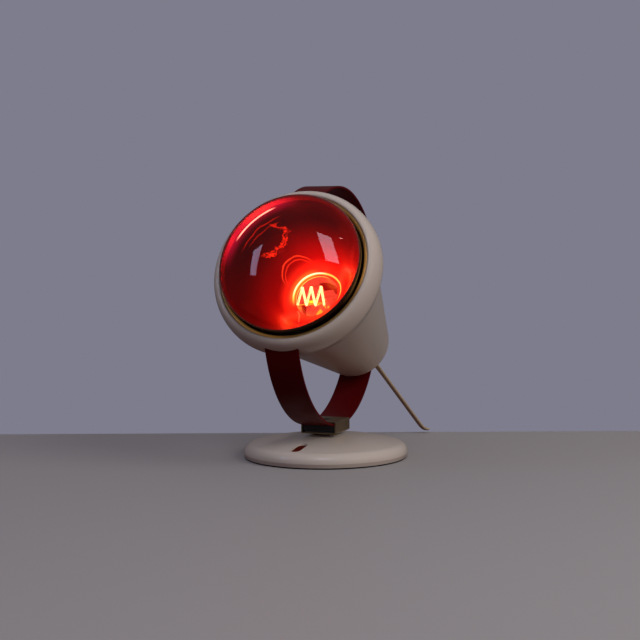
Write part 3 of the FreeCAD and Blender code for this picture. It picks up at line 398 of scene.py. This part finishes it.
class Bowl(Shader):
    """The reflector's painted reflections, glows and shade, placed by the turn about the head's axis and
    by the depth along it, which runs from the band's centre towards the lens. Colours are as the ruby
    glass shows them, with green and blue about fifty times too strong, because the glass lets so little
    through."""

    def __init__(self, name, **sockets):
        super().__init__(name, **sockets)
        self.turn = self.head_turn()[1]
        self.depth = self.head_place()[2]
        self.glows = []

    def shine(self, colour, *weights):
        """Adds a glow, as strong as the product of its weights."""
        self.glows.append((self.times(*weights), colour))

    def patch(self, turn, at, place=None):
        """1 in a patch of the bowl, 0 around it. The turn is its middle, core and edge in degrees;
        at is the same in metres of depth, or of the place that is given instead of the depth."""
        place = self.depth if place is None else place
        return self.times(self.sector(self.turn, *turn), self.line(place, *at))

    def streak(self, colour, turn, at, place=None):
        """Adds a glow in a patch of the bowl."""
        self.shine(colour, self.patch(turn, at, place))

    def bowed(self, place, middle, bow):
        """The place, less the bow for each square radian of the turn from the middle in degrees."""
        away = self.compute("POWER", self.minus(self.turn, math.radians(middle)), 2.0)
        return self.minus(place, self.times(away, bow))

    def slanted(self, place, middle, slant):
        """The place, less the slant for each radian of the turn from the middle in degrees."""
        return self.minus(place, self.times(self.minus(self.turn, math.radians(middle)), slant))


# Depths are in metres. Each TURN is its middle, core and edge in degrees, as in sector(). Each
# START and END is a pair of depths between which something fades in or out.
NECK_END = (0.0185, 0.0200)
BOWL_START = 0.0215                     # depth of the bowl's first bright edge
BOWL_RIM = 0.0895
RED_FALL = [                            # the red's fall from the bowl's start (0) to its rim (1)
    (0.0, 1.0), (0.10, 0.62), (0.25, 0.36), (0.38, 0.20),
    (0.55, 0.09), (0.72, 0.035), (0.88, 0.05), (1.0, 0.08),
]
DIM_SIDE = (math.radians(80), math.radians(165))       # turns between which the bowl gets dimmer
DIMMEST = 0.42
EDGE_SHIFT = -0.0022                    # the neck's edge lies this much nearer to the lens at the head's X
EDGE_LEVEL = math.radians(90)           # turn from which it lies at its own depth
HALO_END = (BOWL_START, 0.0330)
BRIGHT_HALO_END = (BOWL_START, 0.0252)
BRIGHT_HALO_TURN = (150, 30, 65)
PINK_START = (0.0755, 0.0860)
PINK_TURN = (138, 22, 48)
ARC_TURN = (133, 24, 36)
NECK_SHADOWS = [                        # turn and depth, each as middle, core and edge
    ((91, 13, 22), (-0.0010, 0.0060, 0.0090)),
    ((64, 15, 24), (-0.0060, 0.0105, 0.0135)),
    ((-161, 16, 25), (0.0005, 0.0042, 0.0072)),
]
NECK_DIMMEST = 0.72
FLAKE_NOISE = (0.42, 0.56)              # noise values between which a flake turns bright
FLAKE_DIMMEST = 0.15
CREASE_TURN = (134, 15, 21)
CREASE_STRANDS = [                      # depth of each strand, scale and size of its crumples
    (0.0488, 260.0, 0.011), (0.0502, 180.0, 0.015), (0.0474, 330.0, 0.010),
]
CREASE_CORE, CREASE_EDGE = 0.0002, 0.0014
CREASE_DETAIL = 6.0
HOOK_TURN = (115, 0.6, 2.4)
HOOK_START = (0.0560, 0.0580)
HOOK_END = (0.0690, 0.0720)
HOOK_FOOT = 0.0580                      # depth where the hook has its own turn
HOOK_LEAN = 14.0                        # radians of turn for each metre of depth from there
BRASS_REFLECTION_START = (0.070, 0.075)
BRASS_REFLECTION_END = (0.0842, 0.0856)
BRASS_REFLECTION_TURN = (40, 44, 78)

bowl = Bowl("mirror_glass", Emission_Strength=1.0)
turn, depth = bowl.turn, bowl.depth
either_side = bowl.compute("ABSOLUTE", turn)
outside = bowl.faces_out()
inside = bowl.minus(1.0, outside)
in_neck = bowl.fade(depth, *NECK_END, 1.0, 0.0)
past_neck = bowl.minus(1.0, in_neck)

# the bowl's painted red glow, which falls with the depth and is painted dimmer towards one side
red = bowl.curve(bowl.fade(depth, BOWL_START, BOWL_RIM), RED_FALL)
bowl.shine((1.20, 0.06, 0.02), past_neck, bowl.fade(either_side, *DIM_SIDE, 1.0, DIMMEST), red)

# the neck's painted glow: its bright edge, its white part, a fainter ring behind it and the glow around them
edge_depth = bowl.plus(depth, bowl.fade(either_side, 0.0, EDGE_LEVEL, EDGE_SHIFT, 0.0))
bowl.streak((9.0, 40.0, 8.0), turn=(92, 86, 118), at=(0.0214, 0.0002, 0.0009), place=edge_depth)
bowl.streak((9.0, 40.0, 60.0), turn=(128, 30, 62), at=(0.0216, 0.0001, 0.0006), place=edge_depth)
bowl.streak((6.0, 55.0, 8.0), turn=(140, 52, 90), at=(0.0186, 0.0001, 0.0006))
bowl.shine((1.5, 1.3, 0.6), past_neck, bowl.fade(depth, *HALO_END, 1.0, 0.0))
bowl.shine((2.5, 9.0, 1.0), bowl.sector(turn, *BRIGHT_HALO_TURN), past_neck,
           bowl.fade(depth, *BRIGHT_HALO_END, 1.0, 0.0))

# painted reflections at the bowl's rim: a white streak, a pink glow that fades to both sides, and two faint
# echoes
bowl.streak((5.0, 44.0, 46.0), turn=(136, 14, 23), at=(0.0820, 0.0002, 0.0009))
bowl.shine((0.60, 0.12, 2.2), bowl.sector(turn, *PINK_TURN), bowl.fade(depth, *PINK_START))
bowl.streak((0.6, 0.3, 0.0), turn=(138, 14, 26), at=(0.0735, 0.0001, 0.0007),
            place=bowl.uneven(depth, scale=60.0, size=0.005))
bowl.streak((0.35, 0.2, 0.0), turn=(136, 12, 20), at=(0.0690, 0.0001, 0.0008),
            place=bowl.uneven(depth, scale=80.0, size=0.006))

# two painted reflections, as arcs above the neck
arc_depth = bowl.bowed(bowl.uneven(depth, scale=60.0, size=0.005), middle=133, bow=-0.0295)
bowl.streak((1.2, 2.2, 0.8), turn=ARC_TURN, at=(0.0385, 0.0002, 0.0010), place=arc_depth)
bowl.streak((0.8, 1.0, 0.4), turn=ARC_TURN, at=(0.0355, 0.0002, 0.0008), place=arc_depth)

# inside the neck: its cloudy glow with three shadows, a hot spot and the lit seal at its end
shadow = bowl.largest(*[bowl.patch(turn=shadow_turn, at=reach) for shadow_turn, reach in NECK_SHADOWS])
neck_cloud = bowl.fade(bowl.noise(scale=160.0, detail=3.0), *CLOUD, NECK_DIMMEST, 1.0)
bowl.shine((1.25, 3.4, 2.6), in_neck, neck_cloud, bowl.between(shadow, 1.0, 0.0))
bowl.shine((0.45, 0.0, 0.0), in_neck, shadow)
bowl.streak((2.0, 55.0, 0.4), turn=(145, 14, 22), at=(-0.0106, 0.0015, 0.0055),
            place=bowl.slanted(depth, middle=155, slant=0.0332))
bowl.streak((2.0, 22.0, 0.8), turn=(158, 12, 22), at=(-0.0322, 0.0018, 0.0040))

# a support wire, mirrored in the bowl under the neck
bowl.streak((1.6, 5.0, 2.4), turn=(-119, 15, 18), at=(0.0213, 0.0002, 0.0010),
            place=bowl.bowed(depth, middle=-134, bow=0.0358))

# painted reflection of a crumpled bright line across the bowl: three strands of bright flakes, and a hook at
# their upper end
flaked_reflection = bowl.fade(bowl.noise(scale=420.0, detail=4.0), *FLAKE_NOISE, FLAKE_DIMMEST, 1.0)
crease_depth = bowl.bowed(depth, middle=136, bow=0.0788)
for strand_depth, scale, size in CREASE_STRANDS:
    strand_place = bowl.uneven(crease_depth, scale, size, CREASE_DETAIL)
    strand = bowl.patch(turn=CREASE_TURN, at=(strand_depth, CREASE_CORE, CREASE_EDGE), place=strand_place)
    bowl.shine((1.3, 1.0, 0.3), strand, flaked_reflection)
hook_turn = bowl.minus(turn, bowl.times(bowl.minus(depth, HOOK_FOOT), HOOK_LEAN))
hook_turn = bowl.uneven(hook_turn, scale=260.0, size=0.26, detail=CREASE_DETAIL)
bowl.shine((0.9, 0.6, 0.2), bowl.sector(hook_turn, *HOOK_TURN), flaked_reflection,
           bowl.fade(depth, *HOOK_START), bowl.fade(depth, *HOOK_END, 1.0, 0.0))

# outside, the glass beside the brass ring carries a painted reflection of the ring's brass, and the rest
# of its straight side is painted dark as shade
brass_reflection = bowl.times(outside, bowl.fade(depth, *BRASS_REFLECTION_END, 1.0, 0.0),
                        bowl.fade(depth, *BRASS_REFLECTION_START), bowl.sector(turn, *BRASS_REFLECTION_TURN))
glow = bowl.weighted_sum([(bowl.times(inside, weight), colour) for weight, colour in bowl.glows]
                         + [(brass_reflection, (0.085, 0.040, 0.008))])
# base colours: the mirror inside, painted darker in the neck's painted shadows; painted shade outside; and
# the painted reflection of the brass ring
paint = bowl.weighted_sum([
    (bowl.times(inside, bowl.between(shadow, 1.0, 0.1)), (0.15, 0.045, 0.04)),
    (bowl.minus(outside, brass_reflection), (0.020, 0.003, 0.002)),
    (brass_reflection, (0.20, 0.10, 0.03)),
])
bowl.drive("Emission Color", glow)
bowl.drive("Base Color", paint)
bowl.drive("Metallic", inside)
bowl.drive("Roughness", bowl.between(outside, 0.20, 0.40))
bowl.bump(scale=38.0, detail=2.0, strength=0.25, distance=0.0010)
dress(bowl, "bulb_reflector")

# ---------------------------------------------------------------- filament
FILAMENT_KNEES = [                      # x and y in the head's frame
    (-0.012, -0.0125), (-0.0105, 0.0040), (-0.004, -0.0125), (-0.0025, 0.0045),
    (0.004, -0.0125), (0.0062, 0.0050), (0.012, -0.0125),
]
FILAMENT_DEPTH = 0.030
FILAMENT_COIL = 0.0009                  # radius of the coiled wire's middle line
FILAMENT_WIRE = 0.00026                 # radius of the wire
FILAMENT_PITCH = 0.0011
WIRE_SIDES = 5
STEPS_PER_TURN = 10


def circle(count):
    """Directions (across, up) to the points of a circle."""
    return [(math.cos(a), math.sin(a)) for a in (2 * math.pi * k / count for k in range(count))]


def filament_line():
    """Helix that follows the zigzag from knee to knee."""
    knees = [BAND_CENTRE + HEAD_X * x + HEAD_Y * y + HEAD_Z * FILAMENT_DEPTH for x, y in FILAMENT_KNEES]
    turn_steps = circle(STEPS_PER_TURN)
    points = []
    for start, end in zip(knees, knees[1:]):
        leg = end - start
        across = leg.cross(HEAD_Z).normalized()
        steps = round(leg.length / FILAMENT_PITCH) * STEPS_PER_TURN
        for i in range(steps):
            a, b = turn_steps[i % STEPS_PER_TURN]
            points.append(start + leg * (i / steps) + (across * a + HEAD_Z * b) * FILAMENT_COIL)
    return points


coil_line = filament_line()
wire_section = [(a * FILAMENT_WIRE, b * FILAMENT_WIRE) for a, b in circle(WIRE_SIDES)]
coiled = sweep("filament_coil", coil_line, rolling_axes(coil_line), wire_section, tungsten.material)
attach(coiled, "head")
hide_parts("filament")

# ---------------------------------------------------------------- free cord
CORD_WIDTH = 0.0048
STRAND_RADIUS = 0.00125
STRAND_STEPS = 8                        # sides of each strand's outline
STRAND_REACH = 0.93                     # share of the way round to the groove that the outline goes
RUN_ROUTE = [
    (0.0173, 0.0785, 0.0740), (0.0173, 0.0892, 0.0686), (0.0202, 0.0988, 0.0598),
    (0.0345, 0.1462, 0.0160), (0.0389, 0.1609, 0.0025), (0.0413, 0.1788, 0.0025), (0.0380, 0.1960, 0.0025),
]
TAIL_ROUTE = [
    (0.0100, 0.2305, 0.0025), (-0.0060, 0.2320, 0.0025), (-0.0240, 0.2305, 0.0028),
    (-0.0370, 0.2235, 0.0040), (-0.0435, 0.2130, 0.0058), (-0.0450, 0.2030, 0.0068),
]
COIL_CENTRE = (0.0105, 0.2020)
COIL_START = math.radians(8)            # angle of the first point of the turns
COIL_TURNS = 9
COIL_END = math.radians(80)             # angle of the last point of the turns
POINTS_PER_TURN = 16
OUTER, MIDDLE, INNER = 0.0320, 0.0272, 0.0224
LAYERS = [0.0024, 0.0050, 0.0076, 0.0102]
CELLS = [                               # radius and height of each turn, in the order of the winding
    (OUTER, LAYERS[0]), (OUTER, LAYERS[1]), (OUTER, LAYERS[2]), (MIDDLE, LAYERS[3]), (MIDDLE, LAYERS[2]),
    (INNER, LAYERS[2]), (INNER, LAYERS[1]), (MIDDLE, LAYERS[1]), (INNER, LAYERS[0]), (MIDDLE, LAYERS[0]),
]
CROSSING_STEP = math.radians(26)        # each crossing to the next cell lies this much before the last one
CROSSING_HALF = math.radians(14)
SPLINE_STEPS = 5                        # points of the line for each control point
SPLINE_ORDER = 3


def coil_points():
    """Turns that change places one after the other, so that no two of them meet."""
    total = COIL_TURNS * 2 * math.pi + COIL_END - COIL_START
    count = round(total / (2 * math.pi) * POINTS_PER_TURN)
    centre_x, centre_y = COIL_CENTRE
    points = []
    for i in range(count + 1):
        turned = total * i / count
        radius, height = CELLS[0]
        for k, (next_radius, next_height) in enumerate(CELLS[1:]):
            crossing = 2 * math.pi * k + CROSSING_HALF + (COIL_TURNS - 1 - k) * CROSSING_STEP
            share = min(max((turned - crossing + CROSSING_HALF) / (2 * CROSSING_HALF), 0), 1)
            share = share * share * (3 - 2 * share)
            radius += (next_radius - radius) * share
            height += (next_height - height) * share
        angle = COIL_START + turned
        points.append((centre_x + radius * math.cos(angle), centre_y + radius * math.sin(angle), height))
    return points


def spline_points(route):
    """Points along the NURBS curve whose control points are the route."""
    curve = bpy.data.curves.new("cord_line", "CURVE")
    curve.dimensions = "3D"
    curve.resolution_u = SPLINE_STEPS
    spline = curve.splines.new("NURBS")
    spline.points.add(len(route) - 1)
    for point, place in zip(spline.points, route):
        point.co = (*place, 1)
    spline.order_u = SPLINE_ORDER
    spline.use_endpoint_u = True
    holder = bpy.data.objects.new("cord_line", curve)
    bpy.context.scene.collection.objects.link(holder)
    line = bpy.data.meshes.new_from_object(holder.evaluated_get(bpy.context.evaluated_depsgraph_get()))
    points = [v.co.copy() for v in line.vertices]
    bpy.data.objects.remove(holder)
    return points


def twin_section():
    """Outline of two round strands side by side, as (across, up) points."""
    offset = CORD_WIDTH / 2 - STRAND_RADIUS
    reach = math.acos(-offset / STRAND_RADIUS) * STRAND_REACH
    right = [(offset + STRAND_RADIUS * math.cos(a), STRAND_RADIUS * math.sin(a))
             for a in (reach * (2 * i / STRAND_STEPS - 1) for i in range(STRAND_STEPS + 1))]
    return right + [(-x, -y) for x, y in right]


cord_line = spline_points(RUN_ROUTE + coil_points() + TAIL_ROUTE)
cord_section = twin_section()
cord = sweep("flat_cord", cord_line, level_axes(cord_line), cord_section, first_strand.material)
cord.data.materials.append(second_strand.material)
sides = len(cord_section)
for face in cord.data.polygons[:(len(cord_line) - 1) * sides]:
    face.material_index = 1 if face.index % sides < sides // 2 else 0
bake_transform(cord)
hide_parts("cord_run", "cord_coil", "cord_tail")

# ---------------------------------------------------------------- stage
# The floor ends where the table does. Behind that edge a low kerb, which looks like the
# background from the front only, hides a narrow tongue of floor with the put-away cord.
EDGE_START = Vector((-0.324, 0.031, 0))
EDGE_DIRECTION = Vector((0.536, 0.1985, 0)).normalized()
EDGE_BACK = Vector((-EDGE_DIRECTION.y, EDGE_DIRECTION.x, 0))
FLOOR_REACH = 4.0
TONGUE_START, TONGUE_END = 0.276, 0.420
TONGUE_DEPTH = 0.088
KERB_SETBACK = 0.001
KERB_HEIGHT = 0.0250
BACKGROUND = (0.209, 0.205, 0.266)
FLOOR_SEEN = (0.38, 0.350, 0.335)       # pale to the eye
FLOOR_THROWN = (0.13, 0.065, 0.055)     # what lights the lamp from below is the warm dark of a wooden table


def edge_point(along, back=0.0, height=0.0):
    return EDGE_START + EDGE_DIRECTION * along + EDGE_BACK * back + UP * height


def flat_sheet(name, outline, look):
    """One flat face."""
    return add_mesh(name, outline, [tuple(range(len(outline)))], look.material, smooth=False)


floor_look = Shader("floor", Roughness=0.55)
floor_rays = floor_look.add("ShaderNodeLightPath").outputs
thrown = floor_look.plus(floor_rays["Is Diffuse Ray"], floor_rays["Is Glossy Ray"])
floor_look.drive("Base Color", floor_look.ramp(thrown, FLOOR_SEEN, FLOOR_THROWN))
floor = flat_sheet("floor", [
    edge_point(-FLOOR_REACH, -FLOOR_REACH), edge_point(FLOOR_REACH, -FLOOR_REACH), edge_point(FLOOR_REACH),
    edge_point(TONGUE_END), edge_point(TONGUE_END, TONGUE_DEPTH), edge_point(TONGUE_START, TONGUE_DEPTH),
    edge_point(TONGUE_START), edge_point(-FLOOR_REACH),
], floor_look)

kerb_look = Shader("kerb")
kerb_colour = kerb_look.add("ShaderNodeEmission", Color=(*BACKGROUND, 1), Strength=1.0)
kerb_clear = kerb_look.add("ShaderNodeBsdfTransparent")
kerb_front = kerb_look.minus(1.0, kerb_look.add("ShaderNodeNewGeometry").outputs["Backfacing"])
kerb_shown = kerb_look.times(kerb_look.add("ShaderNodeLightPath").outputs["Is Camera Ray"], kerb_front)
kerb_mix = kerb_look.mix_shaders(kerb_shown, kerb_clear.outputs["BSDF"], kerb_colour.outputs["Emission"])
kerb_look.link(kerb_mix, kerb_look.tree.nodes["Material Output"].inputs["Surface"])
kerb = flat_sheet("kerb", [
    edge_point(TONGUE_START, KERB_SETBACK), edge_point(TONGUE_END, KERB_SETBACK),
    edge_point(TONGUE_END, KERB_SETBACK, KERB_HEIGHT), edge_point(TONGUE_START, KERB_SETBACK, KERB_HEIGHT),
], kerb_look)

# ---------------------------------------------------------------- light
HORIZON = (0.122, 0.111, 0.134)
ZENITH = (0.345, 0.328, 0.366)
GLOSS_DIMMING = 0.55                    # gloss shows a darker room than the one that lights the lamp
LIGHT_DISTANCE = 1.6
SHAPE_EDGE = 0.01                       # half the soft edge of a shaped light, as a share of its size

world = bpy.data.worlds.new("studio")
bpy.context.scene.world = world
world.use_nodes = True
room = NodeTree(world.node_tree)
ambient = room.tree.nodes["Background"]
rays = room.add("ShaderNodeLightPath").outputs
sky_place = room.add("ShaderNodeSeparateXYZ")
room.link(room.add("ShaderNodeTexCoord").outputs["Generated"], sky_place.inputs["Vector"])
room.link(room.ramp(sky_place.outputs["Z"], HORIZON, ZENITH), ambient.inputs["Color"])
room.link(room.minus(1.0, room.times(rays["Is Glossy Ray"], GLOSS_DIMMING)), ambient.inputs["Strength"])
backdrop = room.add("ShaderNodeBackground", Color=(*BACKGROUND, 1))
seen_room = room.mix_shaders(rays["Is Camera Ray"], ambient.outputs["Background"],
                             backdrop.outputs["Background"])
room.link(seen_room, room.tree.nodes["World Output"].inputs["Surface"])


def shine_inside(data, corners):
    """The light shines only between the corners (across, up), from 0 to 1 and counter-clockwise."""
    data.use_nodes = True
    shape = NodeTree(data.node_tree)
    place = shape.add("ShaderNodeNewGeometry").outputs["Parametric"]
    halves = []
    for (x, y), (next_x, next_y) in zip(corners, corners[1:] + corners[:1]):
        inward = Vector((y - next_y, next_x - x, 0)).normalized()
        reach = shape.minus(shape.along(place, inward), inward.dot(Vector((x, y, 0))))
        halves.append(shape.fade(reach, -SHAPE_EDGE, SHAPE_EDGE))
    shape.link(shape.times(*halves), shape.tree.nodes["Emission"].inputs["Strength"])


def soft_light(name, azimuth, elevation, size, power, roll=0.0, colour=(1, 1, 1), seen=True, corners=None):
    """Area light aimed at the head. Angles are in degrees, and the azimuth runs from the front (-Y)
    towards +X. Where it isn't seen, it lights the lamp but shows in no gloss."""
    a, e = math.radians(azimuth), math.radians(elevation)
    away = Vector((math.sin(a) * math.cos(e), -math.cos(a) * math.cos(e), math.sin(e)))
    data = bpy.data.lights.new(name, "AREA")
    data.shape = "RECTANGLE"
    data.size, data.size_y = size
    data.energy = power
    data.color = colour
    if corners:
        shine_inside(data, corners)
    light = bpy.data.objects.new(name, data)
    bpy.context.scene.collection.objects.link(light)
    light.visible_glossy = seen
    light.location = BAND_CENTRE + away * LIGHT_DISTANCE
    turned = Matrix.Rotation(math.radians(roll), 3, "Z")
    light.rotation_euler = (away.to_track_quat("Z", "Y").to_matrix() @ turned).to_euler()


soft_light("key_left", azimuth=-51, elevation=36, size=(0.216, 0.78), power=3.3, roll=27,
           colour=(0.48, 0.64, 1.0), corners=[(0.886, 0.833), (0.213, 0.711), (0.301, 0.141), (0.903, 0.081)])
soft_light("top_right", azimuth=17, elevation=53, size=(0.312, 0.90), power=6.1, roll=21,
           colour=(0.80, 0.84, 1.0), corners=[(0.211, 0.977), (0.008, 0.239), (0.688, 0.066), (0.802, 0.703)])
soft_light("spot_right", azimuth=30.5, elevation=60, size=(0.05, 0.022), power=0.05,
           colour=(1.0, 0.80, 0.85))
soft_light("side_right", azimuth=74, elevation=30, size=(0.9, 0.9), power=10.5, seen=False)

bpy.context.scene.view_settings.view_transform = "Standard"
